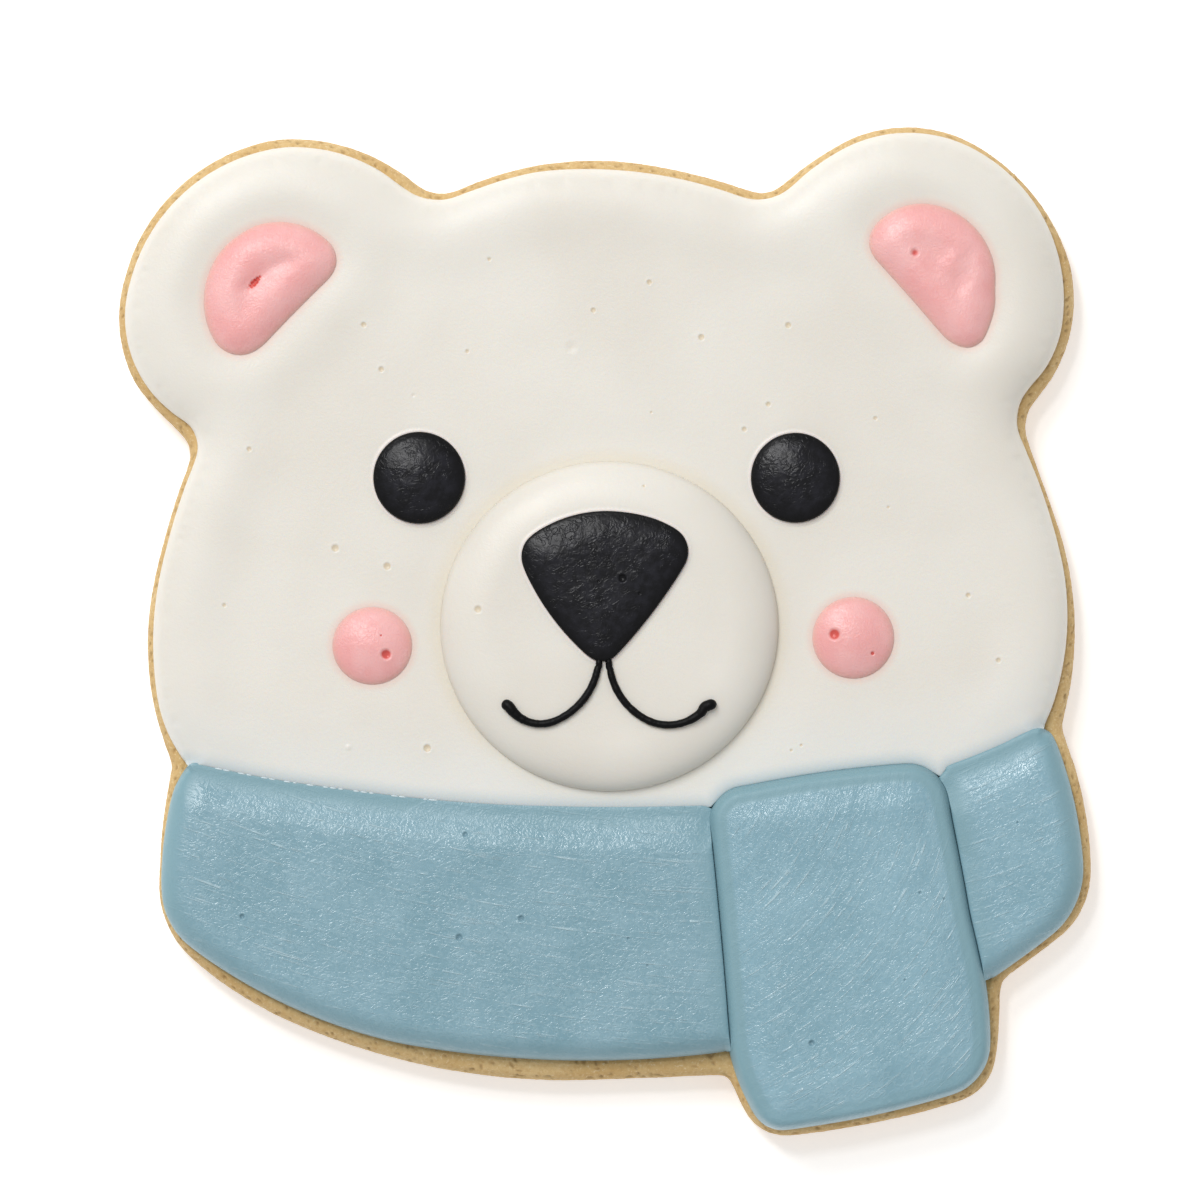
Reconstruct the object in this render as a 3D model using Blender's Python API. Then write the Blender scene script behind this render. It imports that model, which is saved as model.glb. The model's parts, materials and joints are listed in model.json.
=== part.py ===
"""Iced sugar cookie: a white bear's head in a blue scarf, lying flat with its iced side up.

A cutter-cut biscuit carries pools of set icing that stand side by side on it, and the muzzle, eyes,
cheeks and inner ears stand on the white one. Looking down on it, +X is right and +Y is towards the
ears; the origin is the middle of the footprint, on the table. The numbers below are millimetres.
"""

import math

import bmesh
import bpy
import numpy as np
from mathutils.geometry import delaunay_2d_cdt

MM = 0.001

# Biscuit
COOKIE_THICKNESS = 6.0
TOP_ROUND_WIDTH, TOP_ROUND_DROP = 1.3, 1.7
FOOT_ROUND = 0.6
ROUND_ANGLES = (0, 30, 60, 90)
# The outline below was taken level with the iced top; the side bulges out a little below it
SIDE_BULGE = 1.006

# Thickness of each pool of icing, and how far in from its edge it is still rounded
FACE_THICKNESS, FACE_ROLL = 2.4, 2.6
MUZZLE_THICKNESS, MUZZLE_ROLL = 2.5, 5.0
NOSE_THICKNESS, NOSE_ROLL = 1.1, 2.4
EYE_THICKNESS, EYE_ROLL = 1.5, 4.2
CHEEK_THICKNESS, CHEEK_ROLL = 1.7, 4.0
EAR_THICKNESS, EAR_ROLL = 1.2, 2.8
BAND_THICKNESS, BAND_ROLL = 3.0, 2.3
TAIL_THICKNESS, TAIL_ROLL = 4.2, 1.0
TAIL_BEVEL_SHARE, TAIL_BEVEL_WIDTH, TAIL_BEVEL_POWER = 0.22, 2.0, 1.25
LINE_THICKNESS, LINE_STEP, LINE_END_SWELLING, LINE_SWELLING_POWER = 0.7, 0.7, 0.25, 6

# The white icing piles up along its edge and round the inner ears, and dips against the scarf
RIM_RIDGE, RIM_CREST, RIM_WIDTH = 0.35, 4.2, 2.8
EAR_RIDGE, EAR_CREST, EAR_WIDTH = 0.55, 2.6, 2.6
MUZZLE_MOAT, MOAT_CREST, MOAT_WIDTH = 0.12, 1.5, 2.5
FACE_SEAM_DIP, FACE_SEAM_ROLL = 0.6, 1.8
BAND_SEAM_DIP, BAND_SEAM_ROLL = 1.1, 2.2
BAND_TAIL_DIP, BAND_TAIL_ROLL = 0.4, 0.8

LIP = 0.25
GAP = 0.3
REST_GAP = 0.25

# Round pieces: centre x and y, and the radii along x and y
MUZZLE = (0.4, 0.5, 16.9, 16.5)
EYES = {"left": (-18.6, 15.35, 4.6, 4.6), "right": (19.0, 15.35, 4.45, 4.5)}
CHEEKS = {"left": (-23.3, -1.45, 4.0, 3.9), "right": (24.8, -0.65, 4.1, 4.1)}

# Drawn outlines run counter-clockwise. Each point has the height of the arc from it to the next one,
# measured outwards from their chord.
COOKIE_OUTLINE = [
    # left side of the scarf and its underside, up to the tail
    (-43.3, -13.3, 0.27),
    (-44.6, -24.3, 1.14),
    (-41.2, -32.9, 0.41),
    (-31.9, -38.9, 1.84),
    (-1.0, -44.9, 0.03),
    # tail
    (11.7, -44.4, -0.22),
    (12.7, -45.5, 0.07),
    (14.1, -48.4, 0.59),
    (18.1, -50.5, 0.44),
    (35.2, -47.1, 0.91),
    (39.1, -42.6, 0.11),
    (39.5, -36.2, -0.15),
    # right end of the scarf
    (40.0, -34.7, -0.01),
    (45.1, -30.9, 0.89),
    (48.6, -24.1, 0.69),
    (45.8, -10.2, -0.15),
    # right cheek and ear
    (45.9, -8.6, 1.55),
    (44.9, 11.7, 0.02),
    (42.2, 19.2, -0.65),
    (43.5, 23.5, 1.66),
    (46.4, 37.0, 1.49),
    (36.5, 48.9, 1.42),
    (24.2, 49.1, 0.26),
    (17.6, 44.6, -0.42),
    # crown
    (14.6, 44.0, 0.26),
    (3.9, 46.7, 1.39),
    (-14.8, 44.1, -0.69),
    # left ear and cheek
    (-19.2, 45.0, 1.32),
    (-32.5, 49.2, 3.20),
    (-48.1, 35.2, 1.09),
    (-46.9, 24.5, 0.18),
    (-42.6, 19.8, -0.44),
    (-41.6, 16.9, 0.27),
    (-45.2, 4.7, 1.39),
]
FACE_OUTLINE = [
    # under the edge of the scarf, which trims it
    (-41.9, -13.4, 0.0),
    (-40.4, -13.8, 0.2),
    (-26.5, -16.2, 0.9),
    (9.9, -17.6, 0.0),
    (11.1, -16.5, 0.0),
    (15.6, -15.8, 0.0),
    (31.6, -14.1, 0.0),
    (34.5, -14.0, 0.2),
    (43.3, -10.5, 0.0),
    # right cheek and ear
    (44.3, -8.9, 1.60),
    (45.1, 9.7, 0.20),
    (41.9, 18.7, -0.88),
    (42.4, 24.3, 0.78),
    (45.9, 31.7, 2.63),
    (37.7, 47.9, 2.12),
    (22.9, 47.8, 0.13),
    # crown
    (19.0, 44.9, -0.89),
    (13.5, 43.6, 1.15),
    (-6.5, 46.1, 0.23),
    (-14.5, 43.7, -0.79),
    # left ear and cheek
    (-20.2, 44.4, 1.27),
    (-32.3, 48.5, 3.13),
    (-47.6, 35.1, 2.44),
    (-42.7, 21.4, -0.82),
    (-41.0, 17.4, 0.32),
    (-44.8, 4.8, 0.42),
    (-45.0, -5.9, 0.58),
]
BAND_OUTLINES = {
    "left": [
        (-41.8, -13.4, 0.12),
        (-43.3, -16.0, 0.34),
        (-44.5, -25.8, 0.79),
        (-41.4, -31.8, 1.22),
        (-20.6, -41.3, 1.31),
        (12.3, -42.1, 0.0),
        (10.4, -18.6, 0.0),
        (10.5, -17.3, -0.9),
        (-26.5, -15.6, -0.2),
        (-40.4, -13.2, 0.2),
    ],
    "right": [
        (38.5, -35.0, 0.05),
        (44.2, -30.9, 1.15),
        (47.9, -23.1, 0.50),
        (45.0, -10.6, 0.56),
        (42.4, -9.9, -0.20),
        (33.9, -13.5, 0.0),
        (34.7, -17.3, 0.0),
        (36.9, -29.5, 0.0),
    ],
}
TAIL_OUTLINE = [
    (10.2, -18.6, -0.1),
    (12.3, -41.5, 0.3),
    (14.8, -48.2, 0.75),
    (18.6, -49.9, 0.35),
    (34.6, -46.5, 1.0),
    (38.6, -41.6, 0.45),
    (36.9, -29.5, 0.05),
    (34.6, -17.3, 1.1),
    (30.6, -13.05, 0.3),
    (14.5, -15.2, 1.0),
]
NOSE_OUTLINE = [
    (-1.7, -2.5, 0.5),
    (0.9, -2.6, 0.30),
    (7.8, 6.4, 0.69),
    (7.4, 10.0, 0.31),
    (2.5, 11.8, 1.07),
    (-7.5, 9.5, 0.50),
    (-8.2, 6.4, 0.62),
]
INNER_EAR_OUTLINES = {
    "left": [
        (-36.2, 27.6, 0.19),
        (-34.1, 28.7, -0.06),
        (-27.7, 35.2, 0.92),
        (-27.8, 39.1, 1.05),
        (-35.1, 40.5, 0.18),
        (-38.2, 38.3, 1.36),
        (-39.3, 29.4, 0.58),
    ],
    "right": [
        (36.2, 28.3, 0.62),
        (38.3, 30.6, 0.32),
        (38.9, 33.7, 1.88),
        (33.8, 42.4, 1.20),
        (26.8, 40.4, 0.56),
        (27.0, 37.2, -0.06),
        (33.7, 29.6, 0.26),
    ],
}
# The two piped strokes of the mouth are open, so their last arc is left out
MOUTH_STROKES = {
    "left": [(-0.7, -3.3, -1.0), (-5.2, -9.0, -1.0), (-9.9, -7.0, 0.0)],
    "right": [(0.4, -3.3, 0.95), (4.5, -9.0, 1.05), (10.4, -7.3, 0.1), (10.4, -6.5, 0.0)],
}

# How finely an outline is drawn before it is thinned to the points that its curves need
FINE_STEP = 0.25
SOFTENING_PASSES = 6

# How far a thinned outline may sag from the drawn one, and how near its edge a ring of points may come
POOL_SAG, PIECE_SAG = 0.06, 0.05
RING_TOLERANCE = 0.93

COLOURS = {
    "biscuit": ((0.66, 0.47, 0.22), 0.85),
    "white icing": ((0.80, 0.77, 0.70), 0.5),
    "black icing": ((0.018, 0.018, 0.020), 0.45),
    "pink icing": ((0.86, 0.42, 0.41), 0.4),
    "blue icing": ((0.26, 0.42, 0.50), 0.5),
}


def clear_scene():
    for obj in list(bpy.data.objects):
        bpy.data.objects.remove(obj, do_unlink=True)


def make_material(name):
    colour, roughness = COLOURS[name]
    material = bpy.data.materials.new(name)
    material.use_nodes = True
    shader = material.node_tree.nodes["Principled BSDF"]
    shader.inputs["Base Color"].default_value = (*colour, 1.0)
    shader.inputs["Roughness"].default_value = roughness
    shader.inputs["Metallic"].default_value = 0.0
    material.diffuse_color = (*colour, 1.0)
    return material


# Outlines


def arc(start, end, height):
    """Points from start up to, but without, end, on the arc that stands that high to the right."""
    chord = np.subtract(end, start)
    length = math.hypot(*chord)
    along = chord / length
    outward = np.array([along[1], -along[0]])
    count = max(1, round(length / FINE_STEP))
    share = np.arange(count)[:, None] / count
    turn = 4 * math.atan(2 * height / length)
    if abs(turn) < 1e-3:
        return start + share * chord
    radius = length / (2 * math.sin(turn / 2))
    angle = (share - 0.5) * turn
    return (
        start
        + (length / 2 + radius * np.sin(angle)) * along
        + radius * (np.cos(angle) - math.cos(turn / 2)) * outward
    )


def lengths_along(path, closed):
    ends = np.roll(path, -1, axis=0) if closed else path[1:]
    steps = np.hypot(*(ends - path[: len(ends)]).T)
    return np.concatenate([[0.0], np.cumsum(steps)])


def read_along(path, at, closed):
    """The points of a path at the given lengths from its start."""
    whole = np.vstack([path, path[:1]]) if closed else path
    length = lengths_along(path, closed)
    return np.column_stack([np.interp(at, length, whole[:, i]) for i in (0, 1)])


def drawn(outline):
    """A closed outline as evenly spaced points, its joints between arcs softened."""
    corners = [np.array(point[:2], float) for point in outline]
    ends = corners[1:] + corners[:1]
    arcs = [arc(a, b, point[2]) for a, b, point in zip(corners, ends, outline)]
    loop = np.vstack(arcs)
    total = lengths_along(loop, True)[-1]
    loop = read_along(loop, np.arange(round(total / FINE_STEP)) * FINE_STEP, True)
    for _ in range(SOFTENING_PASSES):
        loop = (np.roll(loop, 1, axis=0) + 2 * loop + np.roll(loop, -1, axis=0)) / 4
    return loop


def ellipse(x, y, radius_x, radius_y):
    count = round(2 * math.pi * max(radius_x, radius_y) / FINE_STEP)
    angle = np.arange(count) * 2 * math.pi / count
    return np.column_stack([x + radius_x * np.cos(angle), y + radius_y * np.sin(angle)])


def stroke(points):
    """An open path of arcs."""
    corners = [np.array(point[:2], float) for point in points]
    arcs = [arc(a, b, point[2]) for a, b, point in zip(corners, corners[1:], points)]
    return np.vstack([*arcs, corners[-1:]])


def thinned(loop, sag, longest):
    """The loop with few points: close together where it bends, at most `longest` apart elsewhere."""
    before, after = np.roll(loop, 2, axis=0), np.roll(loop, -2, axis=0)
    first, second = loop - before, after - loop
    cross = first[:, 0] * second[:, 1] - first[:, 1] * second[:, 0]
    bend = np.abs(2 * cross) / (
        np.hypot(*first.T) * np.hypot(*second.T) * np.hypot(*(after - before).T)
    )
    density = np.maximum(1 / longest, np.sqrt(bend / (8 * sag)))
    steps = np.diff(lengths_along(loop, True))
    amount = np.concatenate([[0.0], np.cumsum(density * steps)])
    count = math.ceil(amount[-1])
    wanted = np.arange(count) * amount[-1] / count
    at = np.interp(wanted, amount, lengths_along(loop, True))
    return read_along(loop, at, True)


# Distances to outlines


def edges_of(loop):
    return loop, np.roll(loop, -1, axis=0)


def nearest_on(points, edges):
    """For each point, its distance to the nearest of the edges, and the place on that edge."""
    starts, ends = edges
    along = ends - starts
    squared = np.maximum((along**2).sum(1), 1e-12)
    share = np.clip(((points[:, None] - starts) * along).sum(2) / squared, 0, 1)
    places = starts + share[..., None] * along
    distances = np.hypot(*(points[:, None] - places).transpose(2, 0, 1))
    best = distances.argmin(1)
    rows = np.arange(len(points))
    return distances[rows, best], places[rows, best]


def distance_to(points, edges):
    return nearest_on(points, edges)[0]


def inside(points, loop):
    """Which of the points lie inside the loop, by counting its crossings of a line to the right."""
    starts, ends = edges_of(loop)
    x, y = points[:, 0, None], points[:, 1, None]
    spans = (starts[:, 1] > y) != (ends[:, 1] > y)
    rise = np.where(ends[:, 1] == starts[:, 1], 1.0, ends[:, 1] - starts[:, 1])
    crossing = starts[:, 0] + (y - starts[:, 1]) * (ends[:, 0] - starts[:, 0]) / rise
    return (spans & (x < crossing)).sum(1) % 2 == 1


def kept_clear(loop, neighbours, gap):
    """The loop with the points that come too near a neighbour's outline moved back from it."""
    loop = loop.copy()
    for neighbour in neighbours:
        reach, place = nearest_on(loop, edges_of(neighbour))
        side = np.where(inside(loop, neighbour), -1.0, 1.0)
        away = side[:, None] * (loop - place) / np.maximum(reach, 1e-6)[:, None]
        near = side * reach < gap
        loop[near] = (place + gap * away)[near]
    return loop


def edges_beside(loop, neighbours, beside):
    """The loop's edges that run beside the neighbours, or those that don't."""
    starts, ends = edges_of(loop)
    middle = (starts + ends) / 2
    near = np.zeros(len(loop), bool)
    for neighbour in neighbours:
        near |= distance_to(middle, edges_of(neighbour)) < 2 * GAP
    chosen = near == beside
    return starts[chosen], ends[chosen]


# Heights, in millimetres above the table


def swell(depth, roll):
    """0 at an edge and 1 from `roll` inwards, rising steeply at first as a drop's edge does."""
    share = np.clip(depth / roll, 0, 1)
    return np.sqrt(1 - (1 - share) ** 2)


def ridge(depth, crest, width):
    return np.exp(-(((depth - crest) / width) ** 2))


def face_top(points):
    free = distance_to(points, EDGES["face free"])
    seam = distance_to(points, EDGES["face seam"])
    drop = np.maximum(
        (FACE_THICKNESS - LIP) * (1 - swell(free, FACE_ROLL)),
        FACE_SEAM_DIP * (1 - swell(seam, FACE_SEAM_ROLL)),
    )
    height = FACE_THICKNESS - drop + RIM_RIDGE * ridge(free, RIM_CREST, RIM_WIDTH)
    for side in ("left", "right"):
        to_ear = distance_to(points, EDGES["inner ear " + side])
        height += EAR_RIDGE * ridge(to_ear, EAR_CREST, EAR_WIDTH)
    moat = ridge(distance_to(points, EDGES["muzzle"]), MOAT_CREST, MOAT_WIDTH)
    outside_muzzle = ~inside(points, OUTLINES["muzzle"])
    return COOKIE_THICKNESS + height - MUZZLE_MOAT * moat * outside_muzzle


def seat_on(surface, points):
    return surface(points) + REST_GAP


def drop_top(name, seat, thickness, roll):
    """The top of a round-edged pool that stands on the surface `seat`."""

    def top(points):
        depth = distance_to(points, EDGES[name])
        return seat(points) + LIP + (thickness - LIP) * swell(depth, roll)

    return top


def muzzle_seat(points):
    return seat_on(face_top, points)


MUZZLE_TOP = COOKIE_THICKNESS + FACE_THICKNESS + MUZZLE_THICKNESS


def muzzle_top(points):
    """A disc with a wide rounded edge; its top is level whatever the face does under it."""
    depth = distance_to(points, EDGES["muzzle"])
    foot = muzzle_seat(points) + LIP
    return foot + (MUZZLE_TOP - foot) * swell(depth, MUZZLE_ROLL)


def band_top(side):
    def top(points):
        drop = (BAND_THICKNESS - LIP) * (
            1 - swell(distance_to(points, EDGES["band free " + side]), BAND_ROLL)
        )
        to_face = distance_to(points, edges_of(OUTLINES["face"]))
        to_tail = distance_to(points, edges_of(OUTLINES["tail"]))
        drop = np.maximum(drop, BAND_SEAM_DIP * (1 - swell(to_face, BAND_SEAM_ROLL)))
        drop = np.maximum(drop, BAND_TAIL_DIP * (1 - swell(to_tail, BAND_TAIL_ROLL)))
        return COOKIE_THICKNESS + BAND_THICKNESS - drop

    return top


def tail_top(points):
    """Steep sides up past the bands beside it, then a bevel up to its flat top."""
    depth = distance_to(points, EDGES["tail"])
    side = (1 - TAIL_BEVEL_SHARE) * swell(depth, TAIL_ROLL)
    left = 1 - np.clip(depth / TAIL_BEVEL_WIDTH, 0, 1)
    bevel = TAIL_BEVEL_SHARE * (1 - left**TAIL_BEVEL_POWER)
    return COOKIE_THICKNESS + LIP + (TAIL_THICKNESS - LIP) * (side + bevel)


# Solids


def inset_points(loop, depth):
    """The loop moved inwards by depth, without the points that a tight bend brings too near."""
    along = np.roll(loop, -1, axis=0) - np.roll(loop, 1, axis=0)
    along /= np.hypot(*along.T)[:, None]
    moved = loop + depth * np.column_stack([-along[:, 1], along[:, 0]])
    good = (distance_to(moved, edges_of(loop)) > RING_TOLERANCE * depth) & inside(moved, loop)
    return moved[good]


def honeycomb(loop, spacing, margin):
    """Points on a triangular grid inside the loop, none nearer its edge than the margin."""
    low, high = loop.min(0), loop.max(0)
    row_height = spacing * math.sqrt(3) / 2
    rows = []
    for row in range(math.ceil((high[1] - low[1]) / row_height)):
        x = np.arange(low[0] + spacing / 2 * (row % 2), high[0], spacing)
        rows.append(np.column_stack([x, np.full_like(x, low[1] + row * row_height)]))
    points = np.vstack(rows)
    points = points[inside(points, loop)]
    return points[distance_to(points, edges_of(loop)) > margin]


def sheet(loop, rings, spacing):
    """A flat triangle mesh of the loop's inside: its points, the loop's own first, and its faces."""
    inner = [inset_points(loop, depth) for depth in rings]
    inner.append(honeycomb(loop, spacing, max(rings) + 0.6 * spacing))
    points = np.vstack([loop, *inner])
    count = len(loop)
    border = [(i, (i + 1) % count) for i in range(count)]
    made = delaunay_2d_cdt([tuple(p) for p in points], border, [], 1, 1e-6)
    return np.array([tuple(p) for p in made[0]]), [list(face) for face in made[2]]


def add_mesh(name, vertices, faces, material):
    mesh = bpy.data.meshes.new(name)
    mesh.from_pydata([tuple(v) for v in np.asarray(vertices) * MM], [], faces)
    shape = bmesh.new()
    shape.from_mesh(mesh)
    bmesh.ops.triangulate(shape, faces=shape.faces[:])
    bmesh.ops.recalc_face_normals(shape, faces=shape.faces[:])
    shape.to_mesh(mesh)
    shape.free()
    mesh.shade_smooth()
    mesh.set_sharp_from_angle(angle=math.radians(50))
    mesh.materials.append(material)
    obj = bpy.data.objects.new(name, mesh)
    bpy.context.scene.collection.objects.link(obj)
    return obj


def add_icing(name, loop, top, bottom, rings, spacing, material):
    """A closed pool of icing between two height functions. A level bottom, a number, is one face."""
    points, faces = sheet(loop, rings, spacing)
    count = len(loop)
    upper = np.column_stack([points, top(points)])
    level = not callable(bottom)
    under = points[:count] if level else points
    heights = np.full(count, bottom) if level else bottom(under)
    lower = np.column_stack([under, heights])
    shift = len(upper)
    if level:
        lower_faces = [list(range(shift + count - 1, shift - 1, -1))]
    else:
        lower_faces = [[shift + i for i in reversed(face)] for face in faces]
    following = [(i + 1) % count for i in range(count)]
    walls = [[i, shift + i, shift + j, j] for i, j in enumerate(following)]
    return add_mesh(name, np.vstack([upper, lower]), faces + lower_faces + walls, material)


def add_cookie(material):
    """Levels of the biscuit's outline, each drawn in by its inset, joined by walls and capped."""
    loop = thinned(OUTLINES["cookie"], PIECE_SAG, 3.0)
    along = np.roll(loop, -1, axis=0) - np.roll(loop, 1, axis=0)
    along /= np.hypot(*along.T)[:, None]
    inward = np.column_stack([-along[:, 1], along[:, 0]])
    levels = []
    for angle in np.radians(ROUND_ANGLES):
        levels.append((FOOT_ROUND * (1 - math.sin(angle)), FOOT_ROUND * (1 - math.cos(angle))))
    for angle in np.radians(ROUND_ANGLES):
        height = COOKIE_THICKNESS - TOP_ROUND_DROP * (1 - math.sin(angle))
        levels.append((TOP_ROUND_WIDTH * (1 - math.cos(angle)), height))
    count = len(loop)
    rings = [
        np.column_stack([loop + inset * inward, np.full(count, height)])
        for inset, height in levels
    ]
    faces = [list(range(count - 1, -1, -1))]
    for level in range(len(levels) - 1):
        low, high = level * count, (level + 1) * count
        for i in range(count):
            j = (i + 1) % count
            faces.append([low + i, low + j, high + j, high + i])
    faces.append([(len(levels) - 1) * count + i for i in range(count)])
    return add_mesh("cookie", np.vstack(rings), faces, material)


def add_stroke(name, points, material):
    """A piped line on the muzzle, a little thicker at its free end where the piping stopped."""
    path = stroke(points)
    length = lengths_along(path, False)[-1]
    count = round(length / LINE_STEP) + 1
    path = read_along(path, np.linspace(0, length, count), False)
    heights = seat_on(muzzle_top, path) + LINE_THICKNESS / 2
    curve = bpy.data.curves.new(name, "CURVE")
    curve.dimensions = "3D"
    curve.bevel_depth = LINE_THICKNESS / 2 * MM
    curve.bevel_resolution = 2
    curve.use_fill_caps = True
    spline = curve.splines.new("POLY")
    spline.points.add(count - 1)
    for i, (spot, (x, y), z) in enumerate(zip(spline.points, path, heights)):
        spot.co = (x * MM, y * MM, z * MM, 1.0)
        spot.radius = 1.0 + LINE_END_SWELLING * (i / (count - 1)) ** LINE_SWELLING_POWER
    curve.materials.append(material)
    obj = bpy.data.objects.new(name, curve)
    bpy.context.scene.collection.objects.link(obj)
    return obj


def lay_out():
    """Every outline, each pool trimmed clear of the one that was iced before it."""
    tail = drawn(TAIL_OUTLINE)
    bands = {s: kept_clear(drawn(o), [tail], GAP) for s, o in BAND_OUTLINES.items()}
    scarf = [tail, *bands.values()]
    outlines = {
        "cookie": drawn(COOKIE_OUTLINE) * SIDE_BULGE,
        "tail": tail,
        "band left": bands["left"],
        "band right": bands["right"],
        "face": kept_clear(drawn(FACE_OUTLINE), scarf, GAP),
        "muzzle": ellipse(*MUZZLE),
        "nose": drawn(NOSE_OUTLINE),
    }
    edges = {name: edges_of(loop) for name, loop in outlines.items()}
    edges["face free"] = edges_beside(outlines["face"], scarf, False)
    edges["face seam"] = edges_beside(outlines["face"], scarf, True)
    for side in ("left", "right"):
        outlines["eye " + side] = ellipse(*EYES[side])
        outlines["cheek " + side] = ellipse(*CHEEKS[side])
        outlines["inner ear " + side] = drawn(INNER_EAR_OUTLINES[side])
        for piece in ("eye ", "cheek ", "inner ear "):
            edges[piece + side] = edges_of(outlines[piece + side])
        edges["band free " + side] = edges_beside(
            bands[side], [tail, outlines["face"]], False
        )
    return outlines, edges


def build():
    white, black = make_material("white icing"), make_material("black icing")
    pink, blue = make_material("pink icing"), make_material("blue icing")
    add_cookie(make_material("biscuit"))
    on_cookie = COOKIE_THICKNESS + REST_GAP

    face = thinned(OUTLINES["face"], POOL_SAG, 3.2)
    add_icing("face_icing", face, face_top, on_cookie, (0.35, 1.2, 2.6), 2.8, white)

    for side in ("left", "right"):
        band = thinned(OUTLINES["band " + side], POOL_SAG, 3.2)
        add_icing(f"scarf_{side}", band, band_top(side), on_cookie, (0.35, 1.2, 2.4), 3.5, blue)
    tail = thinned(OUTLINES["tail"], POOL_SAG, 3.2)
    add_icing("scarf_tail", tail, tail_top, on_cookie, (0.25, 0.9, 2.0, 3.2), 3.5, blue)

    muzzle = thinned(OUTLINES["muzzle"], POOL_SAG, 2.6)
    rings = (0.25, 1.0, 2.4, 4.4)
    add_icing("muzzle", muzzle, muzzle_top, muzzle_seat, rings, 3.2, white)
    nose = thinned(OUTLINES["nose"], PIECE_SAG, 1.8)

    def nose_seat(points):
        return seat_on(muzzle_top, points)

    nose_top = drop_top("nose", nose_seat, NOSE_THICKNESS, NOSE_ROLL)
    add_icing("nose", nose, nose_top, nose_seat, (0.15, 0.7, 1.9), 2.4, black)
    for side, points in MOUTH_STROKES.items():
        add_stroke(f"mouth_{side}", points, black)

    drops = (
        ("eye ", "eye_", EYE_THICKNESS, EYE_ROLL, (0.2, 0.8, 2.2), black),
        ("cheek ", "cheek_", CHEEK_THICKNESS, CHEEK_ROLL, (0.15, 0.7, 1.8), pink),
        ("inner ear ", "inner_ear_", EAR_THICKNESS, EAR_ROLL, (0.2, 0.9, 2.2), pink),
    )
    for side in ("left", "right"):
        for outline, node, thickness, roll, rings, material in drops:
            loop = thinned(OUTLINES[outline + side], PIECE_SAG, 1.6)
            top = drop_top(outline + side, muzzle_seat, thickness, roll)
            add_icing(node + side, loop, top, muzzle_seat, rings, 2.0, material)


clear_scene()
OUTLINES, EDGES = lay_out()
build()
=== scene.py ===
"""The looks of an iced sugar cookie: a bear's head in a scarf, lying flat with its iced side up.

The biscuit and each pool of icing start as a plain closed blank that has the outline of its solid.
Geometry Nodes raise the blank to its height and give it its ridges, seams, strokes and bubble pits.
Lengths are in millimetres unless a name or a comment says otherwise.
"""

import json
import math

import bpy
import numpy as np
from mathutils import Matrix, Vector
from mathutils.geometry import delaunay_2d_cdt
from mathutils.kdtree import KDTree

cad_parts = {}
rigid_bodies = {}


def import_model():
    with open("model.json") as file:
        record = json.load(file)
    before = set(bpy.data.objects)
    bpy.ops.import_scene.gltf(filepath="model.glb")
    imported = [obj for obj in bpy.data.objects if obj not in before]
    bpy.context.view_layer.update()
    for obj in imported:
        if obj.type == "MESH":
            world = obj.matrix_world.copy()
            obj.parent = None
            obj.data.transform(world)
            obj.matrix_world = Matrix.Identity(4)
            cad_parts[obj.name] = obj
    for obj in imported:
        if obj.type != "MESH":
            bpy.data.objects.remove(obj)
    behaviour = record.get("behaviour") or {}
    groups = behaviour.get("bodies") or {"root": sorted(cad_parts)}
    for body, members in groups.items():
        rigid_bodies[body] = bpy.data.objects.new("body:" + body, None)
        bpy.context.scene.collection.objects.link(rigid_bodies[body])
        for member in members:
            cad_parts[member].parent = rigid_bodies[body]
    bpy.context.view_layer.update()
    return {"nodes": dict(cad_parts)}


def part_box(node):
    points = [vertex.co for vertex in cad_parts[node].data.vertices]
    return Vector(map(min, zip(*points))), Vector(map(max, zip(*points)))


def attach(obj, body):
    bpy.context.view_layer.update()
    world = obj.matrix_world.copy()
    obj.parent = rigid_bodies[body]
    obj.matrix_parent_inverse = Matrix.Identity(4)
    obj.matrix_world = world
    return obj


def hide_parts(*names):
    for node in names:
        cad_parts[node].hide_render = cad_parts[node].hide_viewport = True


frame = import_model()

MM = 0.001

# How finely the blanks are divided: rings of points inside an edge, round a pit and along the outline
# of what a pool carries, and the coarse grid of the underside
FIRST_RING, RING_STEP, RING_GROWTH = 0.03, 0.06, 1.45
SPOT_RINGS = (0.25, 0.5, 0.72, 0.9, 1.05, 1.25, 1.5)
SPOT_STEP = 0.11
CARRIED_RINGS = (-0.5, -0.34, -0.22, -0.12, -0.03, 0.1, 0.35)
CARRIED_BORDER = 0.6
UNDER_SPACING, UNDER_MARGIN = 2.0, 1.0

# Pools whose edges are this near each other are moved together, and press this far into each other
SNUG_REACH, SEAM_PRESS = 0.75, 0.18
# Pools rest just above the biscuit, and those that are poured on other icing sink into it
REST_GAP, SUNK = 0.02, 0.2

COOKIE_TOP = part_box("cookie")[1].z / MM


# Outlines, read from the solids


def outline_of(node):
    """A solid's outline from above, counter-clockwise: the border of its faces that look down."""
    mesh = frame["nodes"][node].data
    places = [tuple(round(c / MM, 4) for c in v.co) for v in mesh.vertices]
    border = set()
    for face in mesh.polygons:
        if face.normal.z < -0.05:
            corners = [places[i] for i in face.vertices]
            for start, end in zip(corners, corners[1:] + corners[:1]):
                if (start, end) in border:
                    border.remove((start, end))
                else:
                    border.add((end, start))
    following = dict(border)
    first = place = min(following)
    loop = []
    while True:
        loop.append(place[:2])
        place = following[place]
        if place == first:
            return np.array(loop)


def lengths_along(path):
    return np.concatenate([[0.0], np.cumsum(np.hypot(*np.diff(path, axis=0).T))])


def spaced(path, step):
    """The path's points at even steps, its end included."""
    length = lengths_along(path)
    at = np.linspace(0, length[-1], max(2, round(length[-1] / step) + 1))
    return np.column_stack([np.interp(at, length, path[:, i]) for i in range(path.shape[1])])


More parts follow.
